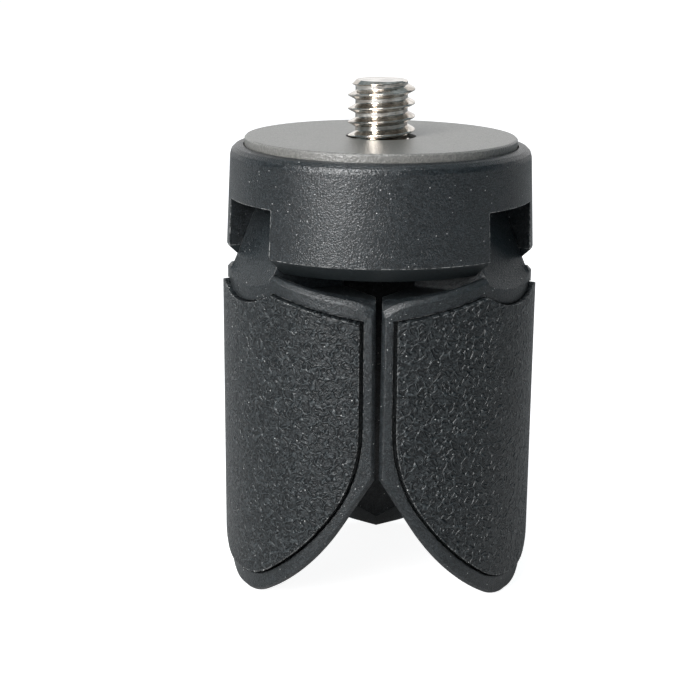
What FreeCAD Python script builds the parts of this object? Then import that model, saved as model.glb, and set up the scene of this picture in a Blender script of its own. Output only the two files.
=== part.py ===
"""Mini tripod, folded: a hub with a threaded mounting stud and three petal legs.

Millimetres.  The tripod stands on its three folded leg tips at height 0, +Z is up and the Z axis is
the axis of the stud.  Every leg is modelled in its own plane, outwards along +X and across along Y,
and is then turned about Z to its place.
"""
import FreeCAD, Part
import math
import os
import re

import Sketcher
from FreeCAD import Placement, Rotation, Vector

doc = FreeCAD.newDocument("mini_tripod")

# Driving dimensions: name, value, meaning.  Drops and rises are counted from the hub's lower edge and
# angles are in degrees.
SIZES = (
    ("hub_base", 32.36, "height of the hub's lower edge above the leg tips"),
    ("hub_radius", 14.50, "outer radius of the hub at its lower edge"),
    ("hub_draft", 0.32, "how much the hub's wall leans in up to its top round"),
    ("hub_height", 9.26, "hub's lower edge to its shoulder"),
    ("hub_round", 0.90, "round of the hub's upper edge, drawn as three flats"),
    ("shoulder_flat", 0.33, "flat of the hub's shoulder beside the friction disc"),
    ("disc_proud", 0.78, "friction disc above the shoulder"),
    ("disc_height", 1.90, "thickness of the friction disc"),
    ("disc_gap", 0.12, "gap around the friction disc"),
    ("disc_bevel", 0.15, "bevel of the friction disc's upper edge"),
    ("stud_radius", 3.16, "major radius of the stud's thread"),
    ("stud_free", 5.30, "free length of the stud above the friction disc"),
    ("stud_lead", 0.80, "chamfer at the stud's tip"),
    ("stud_relief", 0.70, "depth of the relief between the stud's head and thread"),
    ("stud_start", 0.10, "thread's lower end above the friction disc"),
    ("stud_gap", 0.15, "clearance around the stud in the disc"),
    ("head_radius", 4.60, "radius of the stud's head"),
    ("head_height", 2.00, "height of the stud's head"),
    ("head_flat", 4.00, "half width across the two flats of the stud's head"),
    ("head_gap", 0.10, "clearance around and over the stud's head"),
    ("cover_height", 1.37, "thickness of the base cover"),
    ("cover_bevel", 1.47, "how far the base cover's rim leans in"),
    ("slot_width", 8.15, "width of the slots for the legs"),
    ("slot_depth", 8.60, "depth of those slots from the hub's lower edge inwards"),
    ("pin_inset", 5.00, "depth of the hinge pins inside the hub's lower edge"),
    ("pin_rise", 2.40, "rise to the hinge pins"),
    ("pin_radius", 1.00, "radius of the hinge pins"),
    ("pin_length", 13.20, "length of the hinge pins"),
    ("pin_fit", 0.05, "clearance of the pins in the legs"),
    ("saddle_fit", 0.02, "clearance of the pins in their saddles"),
    ("keeper_fit", 0.05, "clearance of the keepers around and under the pins"),
    ("keeper_length", 2.20, "length of a keeper along its pin"),
    ("screw_radius", 1.25, "radius of the cover screw"),
    ("screw_head", 2.20, "radius of the cover screw's head"),
    ("screw_sink", 0.10, "depth of that head below the cover's face"),
    ("screw_gap", 0.10, "clearance of the screw in the cover and the hub"),
    ("screw_bite", 4.00, "length of the screw inside the stud"),
    ("screw_fit", 0.02, "clearance of the screw in the stud"),
    ("screw_hex", 0.95, "corner radius of the screw's socket"),
    ("screw_hex_depth", 1.00, "depth of the screw's socket"),
    ("tab_gap", 0.075, "clearance each side of a leg's tab in its slot"),
    ("tab_back", 0.20, "clearance behind a leg's tab"),
    ("tab_slope", 24.0, "lean of the tab's outer face from the vertical"),
    ("barrel_radius", 2.00, "radius of the tab's barrel"),
    ("barrel_gap", 0.10, "clearance over the barrel"),
    ("face_length", 4.48, "straight stretch of the tab's outer face"),
    ("flare_radius", 9.80, "radius of the flare from the tab to the skin"),
    ("flare_angle", 40.0, "lean of the flare where it leaves the skin"),
    ("skin_step", 0.05, "leg's skin behind the hub's lower edge"),
    ("skin_draft", 0.35, "how much a leg's skin leans in down to its tip"),
    ("leg_gap", 0.66, "gap between two folded legs at the hub"),
    ("leg_gap_low", 0.17, "the same gap carried on down to the level of the tips"),
    ("leg_thick", 6.90, "thickness of a leg at its tip"),
    ("leg_nose", 4.65, "radius of a leg's flank next to its tip"),
    ("leg_nose_end", 31.0, "slope where that round ends"),
    ("leg_flank", 23.3, "radius of a leg's long flank"),
    ("leg_flank_end", 57.7, "slope where the flank runs out straight"),
    ("crest_drop", 1.48, "drop to a leg's crest beside the tab"),
    ("crest_slope", 12.3, "fall of the crest towards its corner"),
    ("crest_corner", 2.50, "round of the crest's corner"),
    ("deck_drop", 3.03, "drop to the flat deck inside the crest"),
    ("rim_wall", 0.80, "wall of the rim around the deck"),
    ("rim_bevel", 0.80, "bevel at the foot of that wall"),
    ("notch_drop", 3.60, "drop to the bottom of the crest's gap for the tab"),
    ("edge_bevel", 0.35, "bevel of a leg's outer edges"),
    ("grip_depth", 0.90, "depth of the recess for the grip pad"),
    ("grip_proud", 0.45, "grip pad above the skin at its top"),
    ("grip_draft", 0.30, "how much the grip pad's face leans in downwards"),
    ("grip_edge", 0.56, "leg's outline beside the grip pad's"),
    ("grip_rise", 2.10, "height of the grip pad's lower tip"),
    ("grip_nose", 3.80, "radius of the grip pad's flank next to its tip"),
    ("grip_nose_end", 38.6, "slope where that round ends"),
    ("grip_flank", 30.2, "radius of the grip pad's long flank"),
    ("grip_flank_end", 55.7, "slope where the flank ends"),
    ("grip_turn", 13.9, "radius from there up into the upright side"),
    ("grip_peak", 4.60, "half distance between the grip pad's two peaks"),
    ("grip_peak_drop", 3.15, "drop to the grip pad's peaks"),
    ("grip_notch", 1.25, "depth of the notch between the peaks"),
    ("grip_slope", 13.5, "fall of the grip pad's top edge"),
    ("grip_corner", 0.80, "round of the grip pad's corners"),
    ("groove_top", 0.12, "groove along the grip pad's top edge"),
    ("groove_low", 0.38, "groove along the grip pad's sides and flanks"),
)

# Places of the legs: name and direction in degrees from +X.
LEGS = (("left", 210), ("right", 330), ("rear", 90))
HALF_SECTOR = 60    # from a leg's middle to the middle of the gap beside it
LEG_CUT = 50        # from a leg's middle to the direction in which its flank is cut
FAR = "40"          # past everything, for cuts that go right through
CLEAR = "2"         # past the face that a cut starts from
PAST_SKIN = "(hub_radius + 2)"      # outside the legs' skins and pads

sheet = doc.addObject("Spreadsheet::Sheet", "Sizes")
for row, (name, number, meaning) in enumerate(SIZES, start=1):
    sheet.set(f"A{row}", name)
    sheet.set(f"B{row}", str(number))
    sheet.set(f"C{row}", meaning)
    sheet.setAlias(f"B{row}", name)
doc.recompute()


def on_sheet(text):
    """Put the sheet's name before each size in an expression."""
    return re.sub(r"\b[a-z]+_[a-z_]+", lambda word: "Sizes." + word.group(), text)


def value(text):
    """Number that an expression on the sheet gives."""
    number = sheet.evalExpression(on_sheet(text))
    return float(getattr(number, "Value", number))


# Heights and radii that several pieces share, as expressions.
TOP = "(hub_base + hub_height)"
DISC_TOP = f"({TOP} + disc_proud)"
RECESS = f"({DISC_TOP} - disc_height)"
HUB_WALL = "(hub_radius - hub_draft)"
DISC_R = f"({HUB_WALL} - hub_round - shoulder_flat - disc_gap)"
PIN_Z = "(hub_base + pin_rise)"
TAB_HALF = "(slot_width / 2 - tab_gap)"
SLOT_BACK = "(hub_radius - slot_depth)"
TAB_BACK = f"({SLOT_BACK} + tab_back)"
PIN_ORBIT = "(hub_radius - pin_inset)"
DECK = "(hub_base - deck_drop)"
SKIN_TOP = "(hub_radius - skin_step)"
SKIN_TIP = "(hub_radius - skin_step - skin_draft)"
SEAT = f"({SKIN_TOP} - grip_depth)"
HEAD_LOW = f"({RECESS} - head_gap - head_height)"
COVER_LOW = "(hub_base - cover_height)"
BACK_TIP = f"({SKIN_TIP} - leg_thick)"
LEG_HALF = f"(hub_radius * sin({HALF_SECTOR}))"
LEG_TIP = f"({SKIN_TIP} * sin({LEG_CUT}))"
GRIP_TIP = f"(({SKIN_TIP} + grip_proud) * sin({HALF_SECTOR}))"
SCREW_LOW = f"({COVER_LOW} + screw_sink)"


def origin(body, role):
    """One of a body's own origin planes or axes."""
    return next(item for item in body.Origin.OriginFeatures if item.Role == role)


def new_body(label, turn=0.0):
    """Body for one sub-part, turned about Z to its place."""
    body = doc.addObject("PartDesign::Body", label)
    body.Label = label
    body.Placement = Placement(Vector(0, 0, 0), Rotation(Vector(0, 0, 1), turn))
    return body


def new_sketch(body, name, role, level="0"):
    """Sketch on an origin plane, lifted off it by an expression."""
    sketch = body.newObject("Sketcher::SketchObject", name)
    sketch.AttachmentSupport = (origin(body, role), [""])
    sketch.MapMode = "FlatFace"
    if level != "0":
        sketch.setExpression("AttachmentOffset.Base.z", on_sheet(level))
    return sketch


def fix_point(sketch, edge, end, across, up):
    """Hold one point of a sketch at two expressions."""
    for kind, axis, text in (("DistanceX", -2, across), ("DistanceY", -1, up)):
        if text == "0":
            sketch.addConstraint(Sketcher.Constraint("PointOnObject", edge, end, axis))
            continue
        rule = Sketcher.Constraint(kind, -1, 1, edge, end, value(text))
        index = sketch.addConstraint(rule)
        sketch.setExpression(f"Constraints[{index}]", on_sheet(text))


def fix_radius(sketch, edge, text):
    """Hold the radius of an arc or circle at an expression."""
    index = sketch.addConstraint(Sketcher.Constraint("Radius", edge, value(text)))
    sketch.setExpression(f"Constraints[{index}]", on_sheet(text))


def arc(start, stop, radius, right):
    """Arc of under half a circle from start to stop, bending left, or right where told."""
    chord = stop - start
    side = Vector(chord.y, -chord.x, 0) if right else Vector(-chord.y, chord.x, 0)
    rise = math.sqrt(max(radius ** 2 - (chord.Length / 2) ** 2, 0.0))
    middle = start + chord * 0.5 + side.normalize() * rise
    ends = (stop, start) if right else (start, stop)
    first, last = (math.atan2(point.y - middle.y, point.x - middle.x) for point in ends)
    return Part.ArcOfCircle(Part.Circle(middle, Vector(0, 0, 1), radius), first, last)


def outline(sketch, corners):
    """Closed outline.  A corner is (x, y) or (x, y, radius): with a radius, the edge that leaves the
    corner is an arc that bends left, or right where the radius is written after a tilde."""
    count = len(corners)
    base = sketch.GeometryCount
    points = [Vector(value(corner[0]), value(corner[1]), 0) for corner in corners]
    tips = []
    for index, corner in enumerate(corners):
        start, stop = points[index], points[(index + 1) % count]
        if len(corner) == 2:
            sketch.addGeometry(Part.LineSegment(start, stop), False)
            tips.append((1, 2))
            continue
        right = corner[2].startswith("~")
        sketch.addGeometry(arc(start, stop, value(corner[2].lstrip("~")), right), False)
        tips.append((2, 1) if right else (1, 2))
    for index in range(count):
        after = (index + 1) % count
        sketch.addConstraint(Sketcher.Constraint(
            "Coincident", base + index, tips[index][1], base + after, tips[after][0]))
    for index, corner in enumerate(corners):
        fix_point(sketch, base + index, tips[index][0], corner[0], corner[1])
        if len(corner) == 3:
            fix_radius(sketch, base + index, corner[2].lstrip("~"))


def circle(sketch, across, up, radius):
    """Circle with its centre and radius at expressions."""
    middle = Vector(value(across), value(up), 0)
    edge = sketch.addGeometry(Part.Circle(middle, Vector(0, 0, 1), value(radius)), False)
    fix_point(sketch, edge, 3, across, up)
    fix_radius(sketch, edge, radius)


def grow(body, kind, sketch, length="", both=False, back=False, taper=""):
    """Pad, Pocket, Revolution or Groove of a sketch; a cut that takes nothing away is an error."""
    before = body.Tip.Shape.Volume if body.Tip else 0.0
    feature = body.newObject("PartDesign::" + kind, f"{sketch.Name}_{kind.lower()}")
    feature.Profile = sketch
    if kind in ("Revolution", "Groove"):
        feature.ReferenceAxis = (origin(body, "Z_Axis"), [""])
        feature.Angle = 360
    else:
        feature.Midplane = both
        feature.Reversed = back
        feature.setExpression("Length", on_sheet(length))
        if taper:
            feature.setExpression("TaperAngle", on_sheet(taper))
    doc.recompute()
    if kind in ("Pocket", "Groove") and not feature.Shape.Volume < before - 1e-4:
        raise RuntimeError(f"{feature.Name} cuts nothing")
    return feature


def around(body, name, features):
    """Repeat features about Z, once for each leg."""
    pattern = body.newObject("PartDesign::PolarPattern", name)
    pattern.Originals = features
    pattern.Axis = (origin(body, "Z_Axis"), [""])
    pattern.Angle = 360
    pattern.Occurrences = len(LEGS)
    body.Tip = pattern
    doc.recompute()
    return pattern


def dress(body, kind, name, size, wanted):
    """Fillet or Chamfer on those edges of the body that the test picks."""
    base = body.Tip
    edges = enumerate(base.Shape.Edges, start=1)
    chosen = [f"Edge{index}" for index, edge in edges if wanted(edge.discretize(5))]
    if not chosen:
        raise RuntimeError(f"{name} finds no edge")
    feature = body.newObject("PartDesign::" + kind, name)
    feature.Base = (base, chosen)
    feature.setExpression("Radius" if kind == "Fillet" else "Size", on_sheet(size))
    doc.recompute()
    return feature


def rectangle(sketch, left, low, right, high):
    """Rectangle between two corners."""
    outline(sketch, ((left, low), (right, low), (right, high), (left, high)))


def head_outline(sketch, gap):
    """Outline of the stud's head, a circle with two flats, grown by a gap."""
    flat = f"(head_flat + {gap})"
    radius = f"(head_radius + {gap})"
    reach = f"sqrt({radius}^2 - {flat}^2)"
    outline(sketch, (
        (f"-{reach}", f"-{flat}"),
        (reach, f"-{flat}", radius),
        (reach, flat),
        (f"-{reach}", flat, radius),
    ))


def leg_slot(body):
    """Slot for a leg, open outwards and downwards."""
    sketch = new_sketch(body, body.Label + "_slot", "XY_Plane", f"{COVER_LOW} - {CLEAR}")
    rectangle(sketch, SLOT_BACK, "-slot_width / 2", f"hub_radius + {CLEAR}", "slot_width / 2")
    rise = f"cover_height + {CLEAR} + pin_rise + barrel_radius + barrel_gap"
    return grow(body, "Pocket", sketch, rise, back=True)


def make_hub():
    """Hub housing: turned shell, slots for the legs, saddles for the pins, seats for the stud."""
    body = new_body("hub_housing", LEGS[-1][1])
    sketch = new_sketch(body, "hub_profile", "XZ_Plane")
    outline(sketch, (
        ("0", "hub_base"),
        ("hub_radius", "hub_base"),
        (HUB_WALL, f"{TOP} - hub_round"),
        (f"{HUB_WALL} - hub_round * (1 - cos(30))", f"{TOP} - hub_round * (1 - sin(30))"),
        (f"{HUB_WALL} - hub_round * (1 - cos(60))", f"{TOP} - hub_round * (1 - sin(60))"),
        (f"{HUB_WALL} - hub_round", TOP),
        (f"{DISC_R} + disc_gap", TOP),
        (f"{DISC_R} + disc_gap", RECESS),
        ("0", RECESS),
    ))
    grow(body, "Revolution", sketch)

    sketch = new_sketch(body, "head_pocket", "XY_Plane", HEAD_LOW)
    head_outline(sketch, "head_gap")
    grow(body, "Pocket", sketch, FAR, back=True)

    sketch = new_sketch(body, "screw_way", "XY_Plane", "hub_base")
    circle(sketch, "0", "0", "screw_radius + screw_gap")
    grow(body, "Pocket", sketch, FAR, back=True)

    slot = leg_slot(body)
    sketch = new_sketch(body, "saddle_way", "XZ_Plane")
    near = f"({PIN_ORBIT} - pin_radius - saddle_fit)"
    away = f"({PIN_ORBIT} + pin_radius + saddle_fit)"
    rectangle(sketch, near, f"hub_base - {CLEAR}", away, PIN_Z)
    way = grow(body, "Pocket", sketch, "pin_length + 2 * saddle_fit", both=True)
    sketch = new_sketch(body, "saddle_round", "XZ_Plane")
    circle(sketch, PIN_ORBIT, PIN_Z, "pin_radius + saddle_fit")
    saddle = grow(body, "Pocket", sketch, "pin_length + 2 * saddle_fit", both=True)
    around(body, "hub_thrice", [slot, way, saddle])


def make_cover():
    """Base cover: bevelled three-lobed plate that keeps the pins in their saddles."""
    body = new_body("base_cover", LEGS[-1][1])
    hole = "(screw_radius + screw_gap)"
    sink = "(screw_head - screw_radius + screw_sink)"
    sketch = new_sketch(body, "cover_profile", "XZ_Plane")
    outline(sketch, (
        (f"{hole} + {sink}", COVER_LOW),
        ("hub_radius - cover_bevel", COVER_LOW),
        ("hub_radius", "hub_base"),
        (hole, "hub_base"),
        (hole, f"{COVER_LOW} + {sink}"),
    ))
    grow(body, "Revolution", sketch)
    slot = leg_slot(body)
    around(body, "cover_slots", [slot])

    inner = "(slot_width / 2 + keeper_fit)"
    outer = f"({inner} + keeper_length)"
    near = f"{PIN_ORBIT} - pin_radius + keeper_fit"
    away = f"{PIN_ORBIT} + pin_radius - keeper_fit"
    keepers = []
    for name, low, high in (("keeper_a", f"-{outer}", f"-{inner}"), ("keeper_b", inner, outer)):
        sketch = new_sketch(body, name, "XY_Plane", "hub_base")
        rectangle(sketch, near, low, away, high)
        keepers.append(grow(body, "Pad", sketch, "pin_rise - pin_radius - keeper_fit"))
    around(body, "cover_keepers", keepers)


def make_screw():
    """Countersunk screw with a hexagon socket, up through cover and hub into the stud."""
    body = new_body("cover_screw")
    end = f"{HEAD_LOW} + screw_bite"
    sketch = new_sketch(body, "screw_profile", "XZ_Plane")
    outline(sketch, (
        ("0", SCREW_LOW),
        ("screw_head", SCREW_LOW),
        ("screw_radius", f"{SCREW_LOW} + screw_head - screw_radius"),
        ("screw_radius", end),
        ("0", end),
    ))
    grow(body, "Revolution", sketch)
    sketch = new_sketch(body, "screw_socket", "XY_Plane", SCREW_LOW)
    outline(sketch, [(f"screw_hex * cos({corner})", f"screw_hex * sin({corner})")
                     for corner in range(30, 390, 60)])
    grow(body, "Pocket", sketch, "screw_hex_depth", back=True)


def make_disc():
    """Friction disc on top of the hub."""
    body = new_body("friction_disc")
    sketch = new_sketch(body, "disc_profile", "XZ_Plane")
    outline(sketch, (
        ("stud_radius + stud_gap", RECESS),
        (DISC_R, RECESS),
        (DISC_R, f"{DISC_TOP} - disc_bevel"),
        (f"{DISC_R} - disc_bevel", DISC_TOP),
        ("stud_radius + stud_gap", DISC_TOP),
    ))
    grow(body, "Revolution", sketch)


def make_stud():
    """Mounting stud: flatted head under the friction disc, shank up through the disc."""
    body = new_body("mount_stud", LEGS[-1][1])
    sketch = new_sketch(body, "stud_head", "XY_Plane", HEAD_LOW)
    head_outline(sketch, "0")
    grow(body, "Pad", sketch, "head_height")
    sketch = new_sketch(body, "stud_shank", "XZ_Plane")
    start, end = f"({DISC_TOP} + stud_start)", f"({DISC_TOP} + stud_free)"
    outline(sketch, (
        ("0", HEAD_LOW),
        ("stud_radius - stud_relief", HEAD_LOW),
        ("stud_radius - stud_relief", start),
        ("stud_radius", start),
        ("stud_radius", f"{end} - stud_lead"),
        ("stud_radius - stud_lead", end),
        ("0", end),
    ))
    grow(body, "Revolution", sketch)
    sketch = new_sketch(body, "stud_thread", "XY_Plane", HEAD_LOW)
    circle(sketch, "0", "0", "screw_radius + screw_fit")
    grow(body, "Pocket", sketch, "screw_bite + screw_gap", back=True)


def make_pin(side, turn):
    """Hinge pin of one leg."""
    body = new_body(f"hinge_pin_{side}", turn)
    sketch = new_sketch(body, f"pin_{side}", "XZ_Plane")
    circle(sketch, PIN_ORBIT, PIN_Z, "pin_radius")
    grow(body, "Pad", sketch, "pin_length", both=True)


def corner(half, start_x, start_z, slope, radius):
    """Rounded corner between a falling top edge and a straight side: upper and lower arc ends."""
    reach = f"({radius} * tan((90 - {slope}) / 2))"
    peak_z = f"({start_z} - ({half} - {start_x}) * tan({slope}))"
    return (f"({half} - {reach} * cos({slope}))", f"({peak_z} + {reach} * sin({slope}))",
            f"({peak_z} - {reach})")


def turned_sketch(body, name, turn):
    """Upright sketch square to a direction that is turned from the leg's middle.  Its horizontal axis
    counts the distance from the upright plane through the axis in that direction."""
    sketch = new_sketch(body, name, "YZ_Plane")
    sketch.AttachmentOffset = Placement(Vector(0, 0, 0), Rotation(Vector(0, 1, 0), turn))
    return sketch


def flank(kind, tip_across, tip_up, more):
    """Points of a flank from the tip upwards, with the radius of the arc that starts at each: a nose
    arc and a long flank arc that run tangent into each other.  More grows the outline."""
    nose, nose_end = f"{kind}_nose", f"{kind}_nose_end"
    long, long_end = f"{kind}_flank", f"{kind}_flank_end"
    first = (tip_across, f"({tip_up} + {nose})")
    second = (f"({first[0]} + ({long} - {nose}) * sin({nose_end}))",
              f"({first[1]} + ({long} - {nose}) * cos({nose_end}))")
    points = [
        (tip_across, f"({tip_up} - {more})"),
        (f"({first[0]} - ({nose} + {more}) * sin({nose_end}))",
         f"({first[1]} - ({nose} + {more}) * cos({nose_end}))"),
        (f"({second[0]} - ({long} + {more}) * sin({long_end}))",
         f"({second[1]} - ({long} + {more}) * cos({long_end}))"),
    ]
    return points, (f"({nose} + {more})", f"({long} + {more})"), second


def cut_beyond(body, name, turn, line, radii=()):
    """Cut away what lies between a line of points, listed upwards, and the plane that it is counted
    from, on both sides of the leg and straight along that plane."""
    beyond = [
        ("-2 * hub_radius", line[-1][1]),
        ("-2 * hub_radius", f"-{CLEAR}"),
        ("2 * hub_radius", f"-{CLEAR}"),
        ("2 * hub_radius", line[0][1]),
    ]
    for way in (1, -1):
        sketch = turned_sketch(body, f"{name}_{'low' if way > 0 else 'high'}", -way * turn)
        corners = []
        for index, (across, up) in enumerate(line + beyond):
            place = (across if way > 0 else f"-({across})", up)
            bend = radii[index] if index < len(radii) else ""
            corners.append(place + ((bend if way < 0 else "~" + bend),) if bend else place)
        outline(sketch, corners)
        grow(body, "Pocket", sketch, FAR, both=True)


def outside(body, name, top, low):
    """Cut away what lies outside a cone between the hub's lower edge and the leg tips.  The profile
    is drawn behind the axis, so that the cone's seam isn't on the leg."""
    sketch = new_sketch(body, name, "XZ_Plane")
    outline(sketch, (
        (f"-{low}", f"-{CLEAR}"),
        ("-2 * hub_radius", f"-{CLEAR}"),
        ("-2 * hub_radius", "hub_base"),
        (f"-{top}", "hub_base"),
        (f"-{low}", "0"),
    ))
    grow(body, "Groove", sketch)


def grip_blank(body, name, more_low, more_top):
    """Curved plate in the outline of a grip pad, grown for the recess that takes it."""
    half = f"({LEG_HALF} - grip_edge + {more_low})"
    peak_z = f"(hub_base - grip_peak_drop + {more_top})"
    notch = "((grip_peak ^ 2 + grip_notch ^ 2) / (2 * grip_notch))"
    bend_x, bend_z, side_z = corner(half, "grip_peak", peak_z, "grip_slope", "grip_corner")
    sketch = new_sketch(body, name + "_outline", "YZ_Plane")
    outline(sketch, (
        (half, "0"),
        (half, side_z, "grip_corner"),
        (bend_x, bend_z),
        ("grip_peak", peak_z, f"~{notch}"),
        ("-grip_peak", peak_z),
        (f"-{bend_x}", bend_z, "grip_corner"),
        (f"-{half}", side_z),
        (f"-{half}", "0"),
    ))
    grow(body, "Pad", sketch, PAST_SKIN)
    sketch = new_sketch(body, name + "_seat", "XZ_Plane")
    rectangle(sketch, f"-{SEAT}", f"-{CLEAR}", "0", f"hub_base + {CLEAR}")
    grow(body, "Groove", sketch)
    line, radii, middle = flank("grip", GRIP_TIP, "grip_rise", more_low)
    centre = (f"({middle[0]} + (grip_turn - grip_flank) * sin(grip_flank_end))",
              f"({middle[1]} + (grip_turn - grip_flank) * cos(grip_flank_end))")
    side = f"({centre[0]} - grip_turn - {more_low})"
    line += [(side, centre[1]), (side, f"hub_base + {CLEAR}")]
    cut_beyond(body, name + "_side", HALF_SECTOR, line, radii + (f"(grip_turn + {more_low})",))


def make_grip(side, turn):
    """Rubber grip pad of one leg."""
    body = new_body(f"grip_pad_{side}", turn)
    grip_blank(body, f"grip_{side}", "0", "0")
    face = f"({SKIN_TOP} + grip_proud)"
    outside(body, f"grip_face_{side}", face, f"({face} - grip_draft)")


def make_leg(side, turn):
    """Leg frame: petal with a recess outside, a deck and rim on top, and the hinge tab."""
    body = new_body(f"leg_frame_{side}", turn)
    crest_z = "(hub_base - crest_drop)"
    notch_z = "(hub_base - notch_drop)"
    bend_x, bend_z, side_z = corner(LEG_HALF, TAB_HALF, crest_z, "crest_slope", "crest_corner")
    sketch = new_sketch(body, f"leg_outline_{side}", "YZ_Plane")
    outline(sketch, (
        (LEG_HALF, "0"),
        (LEG_HALF, side_z, "crest_corner"),
        (bend_x, bend_z),
        (TAB_HALF, crest_z),
        (TAB_HALF, notch_z),
        (f"-{TAB_HALF}", notch_z),
        (f"-{TAB_HALF}", crest_z),
        (f"-{bend_x}", bend_z, "crest_corner"),
        (f"-{LEG_HALF}", side_z),
        (f"-{LEG_HALF}", "0"),
    ))
    grow(body, "Pad", sketch, PAST_SKIN)

    rim = f"({SKIN_TOP} - rim_wall)"
    sketch = new_sketch(body, f"deck_{side}", "XZ_Plane")
    outline(sketch, (
        ("0", DECK),
        (f"rim_bevel - {rim}", DECK),
        (f"-{rim}", f"{DECK} + rim_bevel"),
        (f"-{rim}", f"hub_base + {CLEAR}"),
        ("0", f"hub_base + {CLEAR}"),
    ))
    grow(body, "Groove", sketch)

    face_x = f"({PIN_ORBIT} + barrel_radius * cos(tab_slope))"
    face_z = f"({PIN_Z} + barrel_radius * sin(tab_slope))"
    flare_x = f"({face_x} + face_length * sin(tab_slope))"
    flare_z = f"({face_z} - face_length * cos(tab_slope))"
    end_x = f"({flare_x} + flare_radius * (cos(tab_slope) - cos(flare_angle)))"
    end_z = f"({flare_z} - flare_radius * (sin(flare_angle) - sin(tab_slope)))"
    back_x = f"({PIN_ORBIT} - barrel_radius * cos(45))"
    back_z = f"({PIN_Z} + barrel_radius * sin(45))"
    root_z = f"({notch_z} - 1)"
    sketch = new_sketch(body, f"tab_{side}", "XZ_Plane")
    outline(sketch, (
        (TAB_BACK, root_z),
        (end_x, root_z),
        (end_x, end_z, "~flare_radius"),
        (flare_x, flare_z),
        (face_x, face_z, "barrel_radius"),
        (back_x, back_z),
        (TAB_BACK, f"{back_z} - ({back_x} - {TAB_BACK})"),
    ))
    grow(body, "Pad", sketch, f"2 * {TAB_HALF}", both=True)

    outside(body, f"skin_{side}", SKIN_TOP, SKIN_TIP)
    sketch = new_sketch(body, f"back_{side}", "XZ_Plane")
    outline(sketch, (
        ("0", f"-{CLEAR}"),
        (BACK_TIP, f"-{CLEAR}"),
        (BACK_TIP, "0"),
        (TAB_BACK, DECK),
        (TAB_BACK, f"hub_base + {FAR}"),
        ("0", f"hub_base + {FAR}"),
    ))
    grow(body, "Pocket", sketch, FAR, both=True)
    line, radii, _ = flank("leg", LEG_TIP, "0", "0")
    rise = f"({line[-1][0]} + {LEG_HALF}) * tan(leg_flank_end)"
    line.append((f"(-{LEG_HALF})", f"({line[-1][1]} + {rise})"))
    cut_beyond(body, f"flank_{side}", LEG_CUT, line, radii)
    top = ("(leg_gap / 2)", f"(hub_base + {CLEAR})")
    cut_beyond(body, f"gap_{side}", HALF_SECTOR, [("(leg_gap_low / 2)", "0"), top])

    skin_top, skin_tip = value(SKIN_TOP), value(SKIN_TIP)
    hub_base, tab_half = value("hub_base"), value(TAB_HALF)

    def on_rim(points):
        """Edge of the skin that doesn't touch the tab."""
        for point in points:
            skin = skin_tip + (skin_top - skin_tip) * point.z / hub_base
            if abs(math.hypot(point.x, point.y) - skin) > 0.02:
                return False
            if point.z > hub_base / 2 and abs(point.y) < tab_half - 0.02:
                return False
        return max(abs(point.y) for point in points) > tab_half + 0.02

    dress(body, "Chamfer", f"rim_bevel_{side}", "edge_bevel", on_rim)

    tool = new_body(f"recess_tool_{side}")
    grip_blank(tool, f"recess_{side}", "groove_low", "groove_top")
    recess = body.newObject("PartDesign::Boolean", f"recess_cut_{side}")
    recess.setObjects([tool])
    recess.Type = "Cut"
    doc.recompute()

    sketch = new_sketch(body, f"bore_{side}", "XZ_Plane")
    circle(sketch, PIN_ORBIT, PIN_Z, "pin_radius + pin_fit")
    grow(body, "Pocket", sketch, "slot_width", both=True)


make_hub()
make_cover()
make_disc()
make_stud()
make_screw()
for leg, direction in LEGS:
    make_leg(leg, direction)
    make_grip(leg, direction)
    make_pin(leg, direction)
doc.recompute()

for item in doc.Objects:
    if "Invalid" in item.State or "Error" in item.State:
        raise RuntimeError(f"{item.Label} has failed: {item.State}")

os.makedirs("parts", exist_ok=True)
for item in doc.Objects:
    if item.TypeId != "PartDesign::Body" or item.Label.startswith("recess_tool"):
        continue
    shape = item.Shape
    if shape.isNull() or not shape.isValid() or not shape.Solids:
        raise RuntimeError(f"{item.Label} has no valid solid")
    shape.exportStep(f"parts/{item.Label}.step")
    print(f"{item.Label}: {len(shape.Solids)} solid, {shape.Volume:.1f} mm3")
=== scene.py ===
"""Looks of a folded mini tripod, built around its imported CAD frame.

Lengths are metres unless a class says otherwise, and Z runs up along the stud.  The CAD nodes keep
their shapes and get procedural finishes.  The plain stud is replaced by one that has its thread.
"""
from __future__ import annotations

import logging
from dataclasses import dataclass
from enum import Enum
from functools import lru_cache

import bpy
import numpy as np
from mathutils import Matrix

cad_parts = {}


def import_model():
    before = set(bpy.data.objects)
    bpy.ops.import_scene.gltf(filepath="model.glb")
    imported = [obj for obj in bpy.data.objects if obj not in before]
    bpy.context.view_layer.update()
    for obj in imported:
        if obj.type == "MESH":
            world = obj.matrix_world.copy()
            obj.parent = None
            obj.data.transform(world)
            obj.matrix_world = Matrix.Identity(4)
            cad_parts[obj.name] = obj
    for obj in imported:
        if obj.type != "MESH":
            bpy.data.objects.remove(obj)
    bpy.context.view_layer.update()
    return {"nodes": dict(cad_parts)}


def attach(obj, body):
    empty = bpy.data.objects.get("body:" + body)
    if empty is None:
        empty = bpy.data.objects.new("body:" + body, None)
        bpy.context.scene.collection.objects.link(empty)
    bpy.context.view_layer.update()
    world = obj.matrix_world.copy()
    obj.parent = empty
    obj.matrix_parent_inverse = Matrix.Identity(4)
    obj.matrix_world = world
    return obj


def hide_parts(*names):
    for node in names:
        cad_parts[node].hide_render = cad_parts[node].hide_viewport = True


log = logging.getLogger("mini_tripod")

MM = 0.001
SIDES = ("left", "right", "rear")

Colour = tuple[float, float, float]
Triple = tuple[float, float, float]
Span = tuple[float, float]

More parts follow.
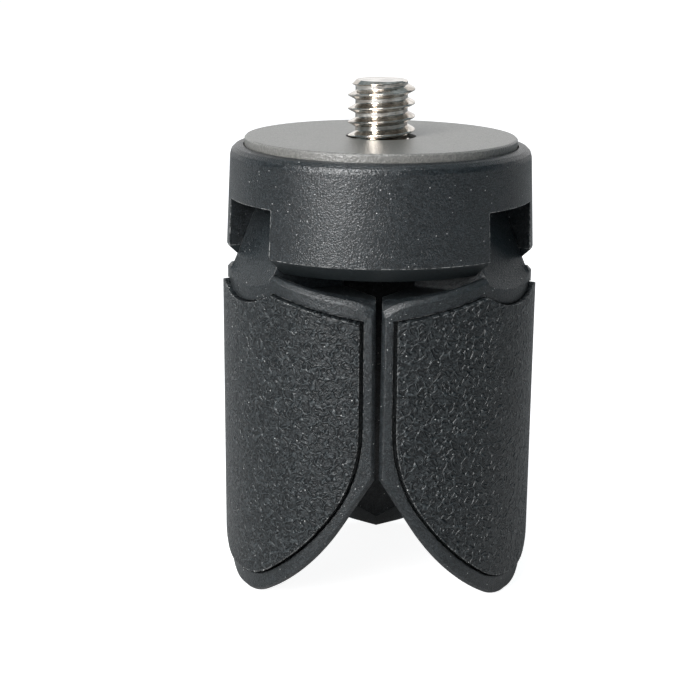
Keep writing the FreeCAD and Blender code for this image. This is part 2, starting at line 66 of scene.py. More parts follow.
# Radius of the legs' outer skin, and the height of the tripod that the lamps face
LEG_SKIN = 14.8 * MM
LAMP_AIM = 24.0 * MM

# Small bright grains: how far they reach in their cell, and how softly the lot picks them
SPECK_SPAN: Span = (0.40, 0.20)
SPECK_SOFTNESS = 0.4

# Colour of the small bright grains and of the painted highlights on outer edges, and how deep the rays
# look that find those edges
SPECK_AND_EDGE_HIGHLIGHT_COLOUR: Colour = (0.50, 0.50, 0.49)
EDGE_HIGHLIGHT_REACH = 0.14 * MM

# Rays that judge how round an edge is
BEVEL_RAYS = 6

# Value around which a noise swings, and places of the colour sockets on the Mix node
NOISE_MIDDLE: Triple = (0.5, 0.5, 0.5)
MIX_ENDS = (6, 7)
MIX_RESULT = 2

WHITE: Colour = (1.0, 1.0, 1.0)


class Graph:
    """Short way to fill a shader's node tree."""

    def __init__(self, tree: bpy.types.NodeTree) -> None:
        """Take hold of a tree.

        Args:
            tree: Node tree of a material, a world or a group.
        """
        self.tree = tree

    def add(self, kind: str, inputs: dict | None = None, **settings: object) -> bpy.types.Node:
        """Add a node.

        Args:
            kind: Node type, such as ShaderNodeMath.
            inputs: Value or output socket for each input, by name or index.
            settings: Properties of the node.

        Returns:
            The node.
        """
        node = self.tree.nodes.new(kind)
        for name, setting in settings.items():
            setattr(node, name, setting)
        for key, source in (inputs or {}).items():
            if isinstance(source, bpy.types.NodeSocket):
                self.tree.links.new(source, node.inputs[key])
            else:
                node.inputs[key].default_value = source
        return node

    def math(self, operation: str, *terms: object) -> bpy.types.NodeSocket:
        """Add one arithmetic step.

        Args:
            operation: Operation of the Math node.
            terms: Numbers or output sockets.

        Returns:
            The result's socket.
        """
        return self.add("ShaderNodeMath", dict(enumerate(terms)), operation=operation).outputs[0]

    def step(self, source: bpy.types.NodeSocket, low: float, high: float) -> bpy.types.NodeSocket:
        """Add a smooth step from 0 at low to 1 at high.

        Args:
            source: Value to judge.
            low: Value that gives 0.
            high: Value that gives 1.

        Returns:
            The step's socket.
        """
        ends = {"Value": source, "From Min": low, "From Max": high}
        return self.add("ShaderNodeMapRange", ends, interpolation_type="SMOOTHSTEP").outputs["Result"]

    def blend(self, share: bpy.types.NodeSocket,
              *ends: Colour | bpy.types.NodeSocket) -> bpy.types.NodeSocket:
        """Mix two colours.

        Args:
            share: Share of the second colour.
            ends: The two colours, or the sockets that give them.

        Returns:
            The mixed colour's socket.
        """
        inputs = {"Factor": share}
        for place, end in zip(MIX_ENDS, ends):
            inputs[place] = end if isinstance(end, bpy.types.NodeSocket) else (*end, 1.0)
        return self.add("ShaderNodeMix", inputs, data_type="RGBA").outputs[MIX_RESULT]

    def noise(self, place: bpy.types.NodeSocket, scale: float,
              detail: float = 0.0) -> bpy.types.NodeOutputs:
        """Add a soft noise.

        Args:
            place: Place's socket.
            scale: Waves in a metre.
            detail: Number of finer layers.

        Returns:
            The noise's outputs, Fac and Color.
        """
        return self.add("ShaderNodeTexNoise", {"Vector": place, "Scale": scale, "Detail": detail}).outputs

    def cells(self, place: bpy.types.NodeSocket,
              scale: float) -> tuple[bpy.types.NodeSocket, bpy.types.NodeOutputs]:
        """Scatter small cells, each with random numbers of its own.

        Args:
            place: Place's socket.
            scale: Cells in a metre.

        Returns:
            Distance from the cell's middle, and its random numbers Red, Green and Blue.
        """
        found = self.add("ShaderNodeTexVoronoi", {"Vector": place, "Scale": scale}).outputs
        return found["Distance"], self.add("ShaderNodeSeparateColor", {"Color": found["Color"]}).outputs

    def specks(self, place: bpy.types.NodeSocket, scale: float, share: float) -> bpy.types.NodeSocket:
        """Add tiny bright grains: the middles of the cells whose random number is among the highest.

        Args:
            place: Place's socket.
            scale: Cells in a metre.
            share: Share of the cells that shine.

        Returns:
            Mask of the grains.
        """
        away, lot = self.cells(place, scale)
        low, high = 1.0 - (1.0 + SPECK_SOFTNESS) * share, 1.0 - (1.0 - SPECK_SOFTNESS) * share
        return self.math("MULTIPLY", self.step(away, *SPECK_SPAN), self.step(lot["Red"], low, high))


@dataclass(frozen=True)
class Pattern:
    """Shader node group that reads a place in metres, and further numbers, and gives out masks and
    heights.  Its scales are waves or cells in a metre, and its spans are the two ends of a step.
    """

    name: str
    numbers: tuple[str, ...] = ()

    def values(self, graph: Graph, inputs: bpy.types.NodeOutputs) -> dict[str, bpy.types.NodeSocket]:
        """Work the group's values out; each kind of pattern has its own way.

        Args:
            graph: The group's graph.
            inputs: The group's inputs, by name.

        Returns:
            Socket of each value, by its name.
        """
        raise NotImplementedError

    def build(self) -> bpy.types.NodeTree:
        """Make the group.

        Returns:
            The group, with a socket for the place, for each number and for each value.
        """
        tree = bpy.data.node_groups.new(self.name, "ShaderNodeTree")
        tree.interface.new_socket("Place", in_out="INPUT", socket_type="NodeSocketVector")
        for number in self.numbers:
            tree.interface.new_socket(number, in_out="INPUT", socket_type="NodeSocketFloat")
        graph = Graph(tree)
        given = self.values(graph, graph.add("NodeGroupInput").outputs)
        for value in given:
            tree.interface.new_socket(value, in_out="OUTPUT", socket_type="NodeSocketFloat")
        graph.add("NodeGroupOutput", given)
        return tree


@lru_cache(maxsize=None)
def group_of(pattern: Pattern) -> bpy.types.NodeTree:
    """Build a pattern's group once, for all the materials that use it."""
    return pattern.build()


@dataclass(frozen=True)
class SparkGrain(Pattern):
    """Spark-eroded grain: tiny cells, each with a random tone and depth, under a soft noise."""

    name: str = "spark_grain"
    cells: float = 8600.0
    noise: float = 6200.0
    noise_detail: float = 1.0
    noise_share: float = 0.7
    crater_share: float = 0.6
    crater_swing: float = 1.2
    crater_least: float = -0.4
    tone_span: Span = (0.30, 1.0)
    speck_cells: float = 6200.0
    speck_share: float = 0.010

    def values(self, graph: Graph, inputs: bpy.types.NodeOutputs) -> dict[str, bpy.types.NodeSocket]:
        """Height: the noise and each cell's cone, which a random number turns up or down.  Tone: a
        random number of the cell.

        Args:
            graph: The group's graph.
            inputs: The group's inputs, by name.

        Returns:
            Height, Tone and Speck.
        """
        place = inputs["Place"]
        away, lot = graph.cells(place, self.cells)
        soft = graph.noise(place, self.noise, self.noise_detail)["Fac"]
        slope = graph.math("MULTIPLY_ADD", lot["Green"], self.crater_swing, self.crater_least)
        crater = graph.math("MULTIPLY", graph.math("MULTIPLY", away, slope), self.crater_share)
        return {
            "Height": graph.math("MULTIPLY_ADD", soft, self.noise_share, crater),
            "Tone": graph.step(lot["Red"], *self.tone_span),
            "Speck": graph.specks(place, self.speck_cells, self.speck_share),
        }


@dataclass(frozen=True)
class WormGrain(Pattern):
    """Worm grain: walls between the cells of a bent flat lattice, broken into short branching
    strokes by a noise.  A stroke stands up and has a narrow ditch along either side.
    """

    name: str = "worm_grain"
    seam_turn: float = np.pi / 6
    lattice: float = 1250.0
    bend_noise: float = 1500.0
    bend: float = 1.0 * MM
    stroke_span: Span = (0.42, 0.52)
    ridge_span: Span = (0.240, 0.020)
    ditch_place: float = 0.260
    ditch_span: Span = (0.110, 0.030)
    ditch_depth: float = -0.20
    skin_noise: float = 6400.0
    skin_height: float = 0.30
    cells: float = 7000.0
    cell_span: Span = (0.20, 1.0)
    cell_tone: float = 0.42
    # Painted highlight on the ridges and painted shade in the ditches, as shares of the tone
    ridge_highlight_tone: float = 0.26
    ditch_shade_tone: float = -0.45
    speck_cells: float = 5200.0
    speck_share: float = 0.006

    def unrolled(self, graph: Graph, place: bpy.types.NodeSocket) -> bpy.types.NodeSocket:
        """Flat place on the skin of the legs: the way round the axis at the skin's radius, and the
        height.  The place is turned first, so that its seam lies between two legs.

        Args:
            graph: The group's graph.
            place: Place's socket.

        Returns:
            Socket of the flat place.
        """
        turned = graph.add("ShaderNodeMapping", {"Vector": place, "Rotation": (0.0, 0.0, self.seam_turn)})
        parts = graph.add("ShaderNodeSeparateXYZ", {"Vector": turned.outputs[0]}).outputs
        way = graph.math("MULTIPLY", graph.math("ARCTAN2", parts["Y"], parts["X"]), LEG_SKIN)
        return graph.add("ShaderNodeCombineXYZ", {"X": way, "Y": parts["Z"]}).outputs[0]

    def strokes(self, graph: Graph,
                flat: bpy.types.NodeSocket) -> tuple[bpy.types.NodeSocket, bpy.types.NodeSocket]:
        """Ridge and ditch of the strokes, from the distance to the nearest wall of the lattice.

        Args:
            graph: The group's graph.
            flat: Socket of the flat place.

        Returns:
            Masks of the ridges and of the ditches.
        """
        noise = graph.noise(flat, self.bend_noise)
        swing = graph.add("ShaderNodeVectorMath", {0: noise["Color"], 1: NOISE_MIDDLE},
                          operation="SUBTRACT").outputs[0]
        bent = graph.add("ShaderNodeVectorMath", {0: swing, 1: (self.bend, self.bend, 0.0), 2: flat},
                         operation="MULTIPLY_ADD")
        walls = graph.add("ShaderNodeTexVoronoi", {"Vector": bent.outputs[0], "Scale": self.lattice},
                          feature="DISTANCE_TO_EDGE", voronoi_dimensions="2D")
        away = walls.outputs["Distance"]
        beside = graph.math("ABSOLUTE", graph.math("SUBTRACT", away, self.ditch_place))
        kept = graph.step(noise["Fac"], *self.stroke_span)
        ridge = graph.math("MULTIPLY", graph.step(away, *self.ridge_span), kept)
        return ridge, graph.math("MULTIPLY", graph.step(beside, *self.ditch_span), kept)

    def values(self, graph: Graph, inputs: bpy.types.NodeOutputs) -> dict[str, bpy.types.NodeSocket]:
        """Height: ridges less ditches over a fine skin.  Tone: painted highlight on the ridges, painted
        shade in the ditches, and cells of random tones.

        Args:
            graph: The group's graph.
            inputs: The group's inputs, by name.

        Returns:
            Height, Tone and Speck.
        """
        place = inputs["Place"]
        ridge, ditch = self.strokes(graph, self.unrolled(graph, place))
        relief = graph.math("MULTIPLY_ADD", ditch, self.ditch_depth, ridge)
        skin = graph.noise(place, self.skin_noise)["Fac"]
        lot = graph.cells(place, self.cells)[1]
        # Painted shade in the ditches and painted highlight on the ridges, on top of the cells' random
        # tone
        dark = graph.math("MULTIPLY", ditch, self.ditch_shade_tone)
        shade = graph.math("MULTIPLY_ADD", ridge, self.ridge_highlight_tone, dark)
        tone = graph.math("MULTIPLY_ADD", graph.step(lot["Red"], *self.cell_span), self.cell_tone, shade)
        return {
            "Height": graph.math("MULTIPLY_ADD", skin, self.skin_height, relief),
            "Tone": graph.math("MAXIMUM", tone, 0.0),
            "Speck": graph.specks(place, self.speck_cells, self.speck_share),
        }


@dataclass(frozen=True)
class FineGrain(Pattern):
    """Nearly smooth moulded skin: one soft noise and very few specks."""

    name: str = "fine_grain"
    noise: float = 5200.0
    noise_detail: float = 2.0
    tone_span: Span = (0.35, 0.65)
    speck_cells: float = 5200.0
    speck_share: float = 0.002

    def values(self, graph: Graph, inputs: bpy.types.NodeOutputs) -> dict[str, bpy.types.NodeSocket]:
        """Height and tone follow the same noise.

        Args:
            graph: The group's graph.
            inputs: The group's inputs, by name.

        Returns:
            Height, Tone and Speck.
        """
        place = inputs["Place"]
        height = graph.noise(place, self.noise, self.noise_detail)["Fac"]
        return {
            "Height": height,
            "Tone": graph.step(height, *self.tone_span),
            "Speck": graph.specks(place, self.speck_cells, self.speck_share),
        }


@dataclass(frozen=True)
class TurnedGrain(Pattern):
    """Turned metal: noise drawn out around the axis into fine rings, and soft blots."""

    name: str = "turned_grain"
    drawn_out: Triple = (0.12, 0.12, 1.0)
    rings: float = 9000.0
    rings_detail: float = 2.0
    blots: float = 900.0
    blots_detail: float = 3.0
    tone_span: Span = (0.35, 0.65)

    def values(self, graph: Graph, inputs: bpy.types.NodeOutputs) -> dict[str, bpy.types.NodeSocket]:
        """Height: the rings.  Tone: the blots.

        Args:
            graph: The group's graph.
            inputs: The group's inputs, by name.

        Returns:
            Height and Tone.
        """
        place = inputs["Place"]
        drawn = graph.add("ShaderNodeMapping", {"Vector": place, "Scale": self.drawn_out}).outputs[0]
        blots = graph.noise(place, self.blots, self.blots_detail)["Fac"]
        return {
            "Height": graph.noise(drawn, self.rings, self.rings_detail)["Fac"],
            "Tone": graph.step(blots, *self.tone_span),
        }


@dataclass(frozen=True)
class EdgeHighlight(Pattern):
    """Painted highlights and painted glints on outer edges: places where rays of the length Reach, sent
    inwards, come out again, broken up by a noise.
    """

    name: str = "painted_edge_highlight"
    numbers: tuple[str, ...] = ("Reach",)
    rays: int = 8
    edge_span: Span = (0.90, 0.60)
    noise: float = 2600.0
    noise_detail: float = 2.0
    highlight_span: Span = (0.42, 0.60)
    glint_cells: float = 4300.0
    glint_share: float = 0.16

    def values(self, graph: Graph, inputs: bpy.types.NodeOutputs) -> dict[str, bpy.types.NodeSocket]:
        """Highlight: painted highlight on the edge where the noise is high.  Glint: painted bright points
        on the edge.

        Args:
            graph: The group's graph.
            inputs: The group's inputs, by name.

        Returns:
            Wear and Glint.
        """
        place = inputs["Place"]
        depth = graph.add("ShaderNodeAmbientOcclusion", {"Distance": inputs["Reach"]},
                          samples=self.rays, inside=True, only_local=True)
        edge = graph.step(depth.outputs["AO"], *self.edge_span)
        noise = graph.noise(place, self.noise, self.noise_detail)["Fac"]
        points = graph.specks(place, self.glint_cells, self.glint_share)
        return {
            "Highlight": graph.math("MULTIPLY", edge, graph.step(noise, *self.highlight_span)),
            "Glint": graph.math("MULTIPLY", edge, points),
        }


class Grain(Enum):
    """Grain of a finish, with the pattern that makes it."""

    SPARK = SparkGrain()
    WORM = WormGrain()
    FINE = FineGrain()
    TURNED = TurnedGrain()


@dataclass(frozen=True)
class Finish:
    """Finish of one material.  The grain's tone leads from the dark to the light colour, relief and
    edge are the grain's height and the edges' radius in millimetres, and edge_highlight and glint are
    the strength of the painted highlights on outer edges and of the painted glints on them.
    """

    name: str
    dark: Colour
    light: Colour
    roughness: float
    grain: Grain
    relief: float
    edge: float
    metallic: float = 0.0
    specular: float = 0.5
    edge_highlight: float = 0.0
    glint: float = 0.0


HUB = Finish("hub_plastic", dark=(0.001, 0.0020, 0.0028), light=(0.018, 0.0225, 0.0255), roughness=0.32,
             grain=Grain.SPARK, relief=0.072, edge=0.16, specular=0.75, edge_highlight=0.50)
LEG = Finish("leg_plastic", dark=(0.002, 0.0035, 0.0045), light=(0.021, 0.0260, 0.0290), roughness=0.38,
             grain=Grain.SPARK, relief=0.072, edge=0.30, specular=0.62, edge_highlight=0.22)
COVER = Finish("cover_plastic", dark=(0.008, 0.011, 0.012), light=(0.013, 0.017, 0.019), roughness=0.42,
               grain=Grain.FINE, relief=0.015, edge=0.16, specular=0.6)
# The disc's grey colours are partly its own dull grey and partly painted sheen, raised to brighten its
# grazing reflection of the white backdrop
DISC = Finish("disc_plastic", dark=(0.119, 0.116, 0.108), light=(0.174, 0.168, 0.156), roughness=0.31,
              grain=Grain.FINE, relief=0.080, edge=0.12, specular=1.0)
GRIP = Finish("grip_rubber", dark=(0.001, 0.0020, 0.0028), light=(0.060, 0.069, 0.073), roughness=0.39,
              grain=Grain.WORM, relief=0.150, edge=0.22, specular=0.45, edge_highlight=0.20, glint=1.0)
STUD = Finish("stud_steel", dark=(0.50, 0.45, 0.40), light=(0.86, 0.81, 0.75), roughness=0.13,
              grain=Grain.TURNED, relief=0.012, edge=0.05, metallic=1.0)
PIN = Finish("inner_steel", dark=(0.45, 0.45, 0.44), light=(0.55, 0.55, 0.54), roughness=0.30,
             grain=Grain.TURNED, relief=0.010, edge=0.05, metallic=1.0)
SCREW = Finish("screw_steel", dark=(0.04, 0.04, 0.04), light=(0.07, 0.07, 0.07), roughness=0.35,
               grain=Grain.TURNED, relief=0.010, edge=0.05, metallic=1.0)


@lru_cache(maxsize=None)
def material(finish: Finish) -> bpy.types.Material:
    """Make the material of a finish: Object coordinates through a Mapping node into its grain.

    Args:
        finish: Finish to build.

    Returns:
        The material.
    """
    made = bpy.data.materials.new(finish.name)
    made.use_nodes = True
    graph = Graph(made.node_tree)
    place = graph.add("ShaderNodeTexCoord").outputs["Object"]
    mapped = graph.add("ShaderNodeMapping", {"Vector": place}).outputs["Vector"]
    pattern = finish.grain.value
    grain = graph.add("ShaderNodeGroup", {"Place": mapped}, node_tree=group_of(pattern)).outputs
    colour = graph.blend(grain["Tone"], finish.dark, finish.light)
    # Small bright grains and, on finishes that have them, painted highlights and painted glints on outer
    # edges, all mixed towards one pale colour
    if not finish.metallic:
        bright = grain["Speck"]
        if finish.edge_highlight:
            bright = graph.math("MAXIMUM", bright, painted_edge_highlights(graph, mapped, finish))
        colour = graph.blend(bright, colour, SPECK_AND_EDGE_HIGHLIGHT_COLOUR)
    rounded = graph.add("ShaderNodeBevel", {"Radius": finish.edge * MM}, samples=BEVEL_RAYS)
    bump = graph.add("ShaderNodeBump", {"Strength": 1.0, "Distance": finish.relief * MM,
                                        "Height": grain["Height"], "Normal": rounded.outputs["Normal"]})
    shader = made.node_tree.nodes["Principled BSDF"]
    made.node_tree.links.new(colour, shader.inputs["Base Color"])
    made.node_tree.links.new(bump.outputs["Normal"], shader.inputs["Normal"])
    shader.inputs["Roughness"].default_value = finish.roughness
    shader.inputs["Metallic"].default_value = finish.metallic
    shader.inputs["Specular IOR Level"].default_value = finish.specular
    return made


def painted_edge_highlights(graph: Graph, place: bpy.types.NodeSocket, finish: Finish) -> bpy.types.NodeSocket:
    """Place the group of the painted edge highlights in a material: the painted highlight and the
    painted glints, each at the finish's own strength, added up.

    Args:
        graph: The material's graph.
        place: Place's socket.
        finish: Finish of the material.

    Returns:
        Mask of the painted highlights and glints on the edges.
    """
    group = group_of(EdgeHighlight())
    edge = graph.add("ShaderNodeGroup", {"Place": place, "Reach": EDGE_HIGHLIGHT_REACH}, node_tree=group).outputs
    glint = graph.math("MULTIPLY", edge["Glint"], finish.glint)
    return graph.math("MULTIPLY_ADD", edge["Highlight"], finish.edge_highlight, glint)


def dress(node: bpy.types.Object, finish: Finish) -> None:
    """Give a CAD node a finish through its material slots.

    Args:
        node: Object of the CAD node.
        finish: Finish to give.
    """
    if not node.material_slots:
        node.data.materials.append(material(finish))
    for slot in node.material_slots:
        slot.material = material(finish)
    log.info("%s gets %s", node.name, finish.name)


def ends(node: bpy.types.Object) -> Span:
    """Lowest and highest point of a CAD node, in millimetres, to a thousandth.

    Args:
        node: Object of the CAD node.

    Returns:
        The two heights.
    """
    heights = [round(corner[2] / MM, 3) for corner in node.bound_box]
    return min(heights), max(heights)


def turned_mesh(name: str, rings: np.ndarray, sharp: tuple[int, ...]) -> bpy.types.Object:
    """Close a stack of rings into one skin: quads between neighbours, a fan at either end.

    Args:
        name: Name of the object.
        rings: Points of shape (rings, points in a ring, 3), from the bottom up, each ring
            anticlockwise as seen from above.
        sharp: Numbers of the rings that stay sharp edges.

    Returns:
        The object, linked to the scene.
    """
    count, around, _ = rings.shape
    index = np.arange(count * around).reshape(count, around)
    after = np.roll(index, -1, axis=1)
    quads = np.stack((index[:-1], after[:-1], after[1:], index[1:]), axis=-1).reshape(-1, 4)
    low, high = count * around, count * around + 1
    bottom = np.stack((np.full(around, low), after[0], index[0]), axis=-1)
    top = np.stack((np.full(around, high), index[-1], after[-1]), axis=-1)
    poles = np.stack((rings[0].mean(axis=0), rings[-1].mean(axis=0)))
    points = np.concatenate((rings.reshape(-1, 3), poles))
    mesh = bpy.data.meshes.new(name)
    mesh.from_pydata(points.tolist(), [], quads.tolist() + bottom.tolist() + top.tolist())
    mesh.validate()
    mesh.shade_smooth()
    ends = np.empty(2 * len(mesh.edges), dtype=np.int32)
    mesh.edges.foreach_get("vertices", ends)
    ring = ends.reshape(-1, 2) // around
    crease = (ring[:, 0] == ring[:, 1]) & np.isin(ring[:, 0], sharp)
    mesh.attributes.new("sharp_edge", "BOOLEAN", "EDGE").data.foreach_set("value", crease)
    mesh.update()
    made = bpy.data.objects.new(name, mesh)
    bpy.context.scene.collection.objects.link(made)
    return made


def placed(made: bpy.types.Object, right: np.ndarray, up: np.ndarray, back: np.ndarray,
           place: np.ndarray) -> bpy.types.Object:
    """Link a camera or a lamp to the scene and set where it stands and looks.

    Args:
        made: The camera or lamp, which looks against its back direction.
        right: Its right, a unit vector.
        up: Its up, a unit vector.
        back: The way behind it, a unit vector.
        place: Where it stands.

    Returns:
        The same object.
    """
    bpy.context.scene.collection.objects.link(made)
    turn = np.eye(4)
    turn[:3, :4] = np.stack((right, up, back, place), axis=1)
    made.matrix_world = Matrix(turn.tolist())
    return made


@dataclass
class Camera:
    """Camera of the photograph: place in metres, lens and sensor in millimetres, and the ways to
    its right and to its front.
    """

    lens: float = 109.765
    sensor: float = 36.0
    near: float = 0.01
    place: Triple = (-0.000112, -0.200, 0.068029)
    right: Triple = (0.9998, 0.0153, 0.0097)
    forward: Triple = (-0.0127, 0.9741, -0.2257)

    def build(self) -> bpy.types.Object:
        """Make the camera and hand it to the scene.

        Returns:
            The camera.
        """
        data = bpy.data.cameras.new("camera")
        data.lens = self.lens
        data.sensor_width = self.sensor
        data.clip_start = self.near
        right = np.array(self.right) / np.linalg.norm(self.right)
        forward = np.array(self.forward) - right * (np.array(self.forward) @ right)
        forward /= np.linalg.norm(forward)
        made = placed(bpy.data.objects.new("camera", data), right, np.cross(right, forward), -forward,
                      np.array(self.place))
        bpy.context.scene.camera = made
        return made


@dataclass(frozen=True)
class Softbox:
    """Flat lamp that faces the tripod.  Azimuth and elevation are degrees, counted from the
    camera's side, positive to the right and up; the power is in watts.
    """

    name: str
    azimuth: float
    elevation: float
    distance: float
    width: float
    height: float
    power: float
    colour: Colour = WHITE

    def build(self) -> bpy.types.Object:
        """Make the lamp.

        Returns:
            The lamp.
        """
        data = bpy.data.lights.new(self.name, "AREA")
        data.shape = "RECTANGLE"
        data.size, data.size_y = self.width, self.height
        data.energy = self.power
        data.color = self.colour
        turn, lift = np.radians(self.azimuth), np.radians(self.elevation)
        away = np.array((np.sin(turn) * np.cos(lift), -np.cos(turn) * np.cos(lift), np.sin(lift)))
        side = np.array((np.cos(turn), np.sin(turn), 0.0))
        middle = away * self.distance + np.array((0.0, 0.0, LAMP_AIM))
        return placed(bpy.data.objects.new(self.name, data), side, np.cross(away, side), away, middle)


@dataclass(frozen=True)
class Sheet:
    """White sheet of the studio.  Its shade is the share of the lamps' light that it gives back, its
    glow is its own brightness, where 1 is white, and mirrored is the share of the glow that
    reflections show.  The glow lights nothing, and from behind the sheet is clear.
    """

    name: str
    corners: tuple[Triple, ...]
    shade: float
    glow: float
    mirrored: float
    roughness: float = 0.9

    def build(self) -> bpy.types.Object:
        """Make the sheet.

        Returns:
            The sheet.
        """
        mesh = bpy.data.meshes.new(self.name)
        mesh.from_pydata(self.corners, [], [tuple(range(len(self.corners)))])
        mesh.materials.append(self.white())
        sheet = bpy.data.objects.new(self.name, mesh)
        bpy.context.scene.collection.objects.link(sheet)
        log.info("%s stands", self.name)
        return sheet

    def white(self) -> bpy.types.Material:
        """Make the sheet's material.

        Returns:
            The material.
        """
        made = bpy.data.materials.new(f"{self.name}_white")
        made.use_nodes = True
        graph = Graph(made.node_tree)
        shader = made.node_tree.nodes["Principled BSDF"]
        shader.inputs["Base Color"].default_value = (self.shade, self.shade, self.shade, 1.0)
        shader.inputs["Roughness"].default_value = self.roughness
        shader.inputs["Specular IOR Level"].default_value = 0.0
        shader.inputs["Emission Color"].default_value = (*WHITE, 1.0)
        path = graph.add("ShaderNodeLightPath").outputs
        seen = graph.math("MULTIPLY_ADD", path["Is Glossy Ray"], self.mirrored, path["Is Camera Ray"])
        shown = graph.math("MULTIPLY", seen, self.glow)
        made.node_tree.links.new(shown, shader.inputs["Emission Strength"])
        behind = graph.add("ShaderNodeNewGeometry").outputs["Backfacing"]
        clear = graph.add("ShaderNodeBsdfTransparent").outputs[0]
        mixed = graph.add("ShaderNodeMixShader", {0: behind, 1: shader.outputs[0], 2: clear}).outputs[0]
        output = made.node_tree.nodes["Material Output"]
        made.node_tree.links.new(mixed, output.inputs["Surface"])
        return made


@dataclass
class Studio:
    """White floor and backdrop, white surroundings for the camera and soft lamps."""

    floor_half: float = 1.6
    backdrop_place: float = 1.3
    backdrop_height: float = 1.2
    ambient: Colour = (0.028, 0.066, 0.090)
    overhead: Colour = (0.33, 0.385, 0.41)
    sky_span: Span = (0.35, 0.90)
    lamps: tuple[Softbox, ...] = (
        Softbox("key", azimuth=-34.0, elevation=25.0, distance=0.50, width=0.16, height=0.36, power=3.40),
        Softbox("side", azimuth=-120.0, elevation=15.0, distance=0.50, width=0.30, height=0.40,
                power=0.08, colour=(0.86, 0.95, 1.0)),
        Softbox("top", azimuth=-25.0, elevation=56.0, distance=0.60, width=0.26, height=0.26, power=1.65),
    )

    def build(self) -> None:
        """Make world, floor, backdrop and lamps."""
        self.build_world()
        half, back, high = self.floor_half, self.backdrop_place, self.backdrop_height
        ground = ((-half, -half, 0.0), (half, -half, 0.0), (half, half, 0.0), (-half, half, 0.0))
        wall = ((-half, back, 0.0), (half, back, 0.0), (half, back, high), (-half, back, high))
        Sheet("floor", ground, shade=0.50, glow=0.93, mirrored=0.06).build()
        Sheet("backdrop", wall, shade=0.0, glow=1.0, mirrored=1.0).build()
        for lamp in self.lamps:
            lamp.build()

    def build_world(self) -> None:
        """White for what the camera sees; for everything else a dim cool surrounding under a pale sky."""
        world = bpy.data.worlds.new("studio")
        bpy.context.scene.world = world
        world.use_nodes = True
        graph = Graph(world.node_tree)
        seen = graph.add("ShaderNodeLightPath").outputs["Is Camera Ray"]
        way = graph.add("ShaderNodeTexCoord").outputs["Generated"]
        rise = graph.add("ShaderNodeSeparateXYZ", {"Vector": way}).outputs["Z"]
        around = graph.blend(graph.step(rise, *self.sky_span), self.ambient, self.overhead)
        background = world.node_tree.nodes["Background"]
        world.node_tree.links.new(graph.blend(seen, around, WHITE), background.inputs["Color"])
        background.inputs["Strength"].default_value = 1.0


@dataclass
class Hub:
    """Hub: housing, base cover, friction disc, screw and pins."""

    nodes: dict[str, bpy.types.Object]

    def build(self) -> None:
        """Dress the hub's nodes."""
        dress(self.nodes["hub_housing"], HUB)
        dress(self.nodes["base_cover"], COVER)
        dress(self.nodes["friction_disc"], DISC)
        dress(self.nodes["cover_screw"], SCREW)
        for side in SIDES:
            dress(self.nodes[f"hinge_pin_{side}"], PIN)


@dataclass
class Leg:
    """One leg: frame and grip pad."""

    nodes: dict[str, bpy.types.Object]
    side: str

    def build(self) -> None:
        """Dress the leg's two nodes."""
        dress(self.nodes[f"leg_frame_{self.side}"], LEG)
        dress(self.nodes[f"grip_pad_{self.side}"], GRIP)


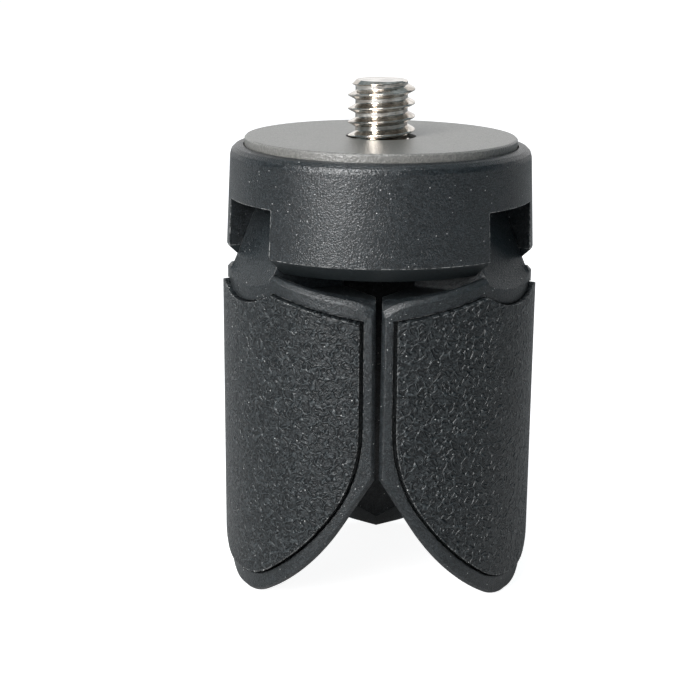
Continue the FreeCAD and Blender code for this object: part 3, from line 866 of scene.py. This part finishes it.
@dataclass
class Stud:
    """Threaded mounting stud that stands for the plain one, sizes in millimetres.  Its foot and its
    top are the plain stud's.  The thread fades in under the disc's top, and its first crest stands
    over it.  The root and the flank of the thread are shares of half a pitch: where the root
    begins, and the flank's width.
    """

    foot: float
    top: float
    disc_top: float
    head_height: float = 2.00
    head_radius: float = 4.60
    head_flat: float = 4.00
    major: float = 3.155
    minor: float = 2.46
    pitch: float = 1.27
    first_crest: float = 0.66
    root: float = 0.70
    flank: float = 0.60
    thread_drop: float = 0.80
    fade: float = 0.50
    lead: float = 0.80
    around: int = 144
    rows: int = 190

    def thread(self, turn: np.ndarray, height: np.ndarray) -> np.ndarray:
        """Radius of the thread's skin: a trapezoid wave along a right-handed helix, cut back by the
        lead chamfer at the tip and faded out at its lower end.

        Args:
            turn: Angles in radians.
            height: Heights in millimetres, one row for each ring.

        Returns:
            Radii in millimetres.
        """
        phase = (height - self.disc_top - self.first_crest) / self.pitch - turn / (2 * np.pi)
        away = np.abs(phase - np.round(phase)) * 2
        wave = np.clip((self.root - away) / self.flank, 0.0, 1.0)
        faded = np.clip((height - height.min()) / self.fade, 0.0, 1.0)
        radius = self.major - faded * (self.major - self.minor) * (1 - wave)
        return np.minimum(radius, self.major - self.lead + (self.top - height))

    def head(self, turn: np.ndarray) -> np.ndarray:
        """Radius of the head: a circle with a flat on its front and one on its back.

        Args:
            turn: Angles in radians.

        Returns:
            Radii in millimetres.
        """
        rise = np.abs(np.sin(turn))
        return np.minimum(self.head_radius, self.head_flat / np.maximum(rise, np.finfo(float).eps))

    def build(self) -> bpy.types.Object:
        """Make the stud from its flatted head up to the tip.  The head's two rims, the shank's foot
        and the rim of the tip stay sharp edges.

        Returns:
            The stud.
        """
        turn = np.linspace(0, 2 * np.pi, self.around, endpoint=False)
        head = self.head(turn)
        shank = np.full_like(turn, self.major)
        heights = np.linspace(self.disc_top - self.thread_drop, self.top, self.rows)
        skin = self.thread(turn[None, :], heights[:, None])
        radii = np.concatenate((head[None], head[None], shank[None], skin))
        shoulder = self.foot + self.head_height
        levels = np.concatenate(((self.foot, shoulder, shoulder), heights))
        level = np.broadcast_to(levels[:, None], radii.shape)
        rings = np.stack((radii * np.cos(turn), radii * np.sin(turn), level), axis=-1) * MM
        made = turned_mesh("threaded_stud", rings, sharp=(0, 1, 2, len(rings) - 1))
        made.data.materials.append(material(STUD))
        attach(made, "hub")
        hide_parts("mount_stud")
        log.info("threaded stud: %d faces", len(made.data.polygons))
        return made


def main() -> None:
    """Build studio, camera and tripod in order."""
    logging.basicConfig(level=logging.INFO, format="%(name)s: %(message)s")
    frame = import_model()
    bpy.context.scene.view_settings.view_transform = "Standard"
    Camera().build()
    Studio().build()
    nodes = frame["nodes"]
    Hub(nodes).build()
    Stud(*ends(nodes["mount_stud"]), ends(nodes["friction_disc"])[1]).build()
    for side in SIDES:
        Leg(nodes, side).build()


if __name__ == "__main__":
    main()
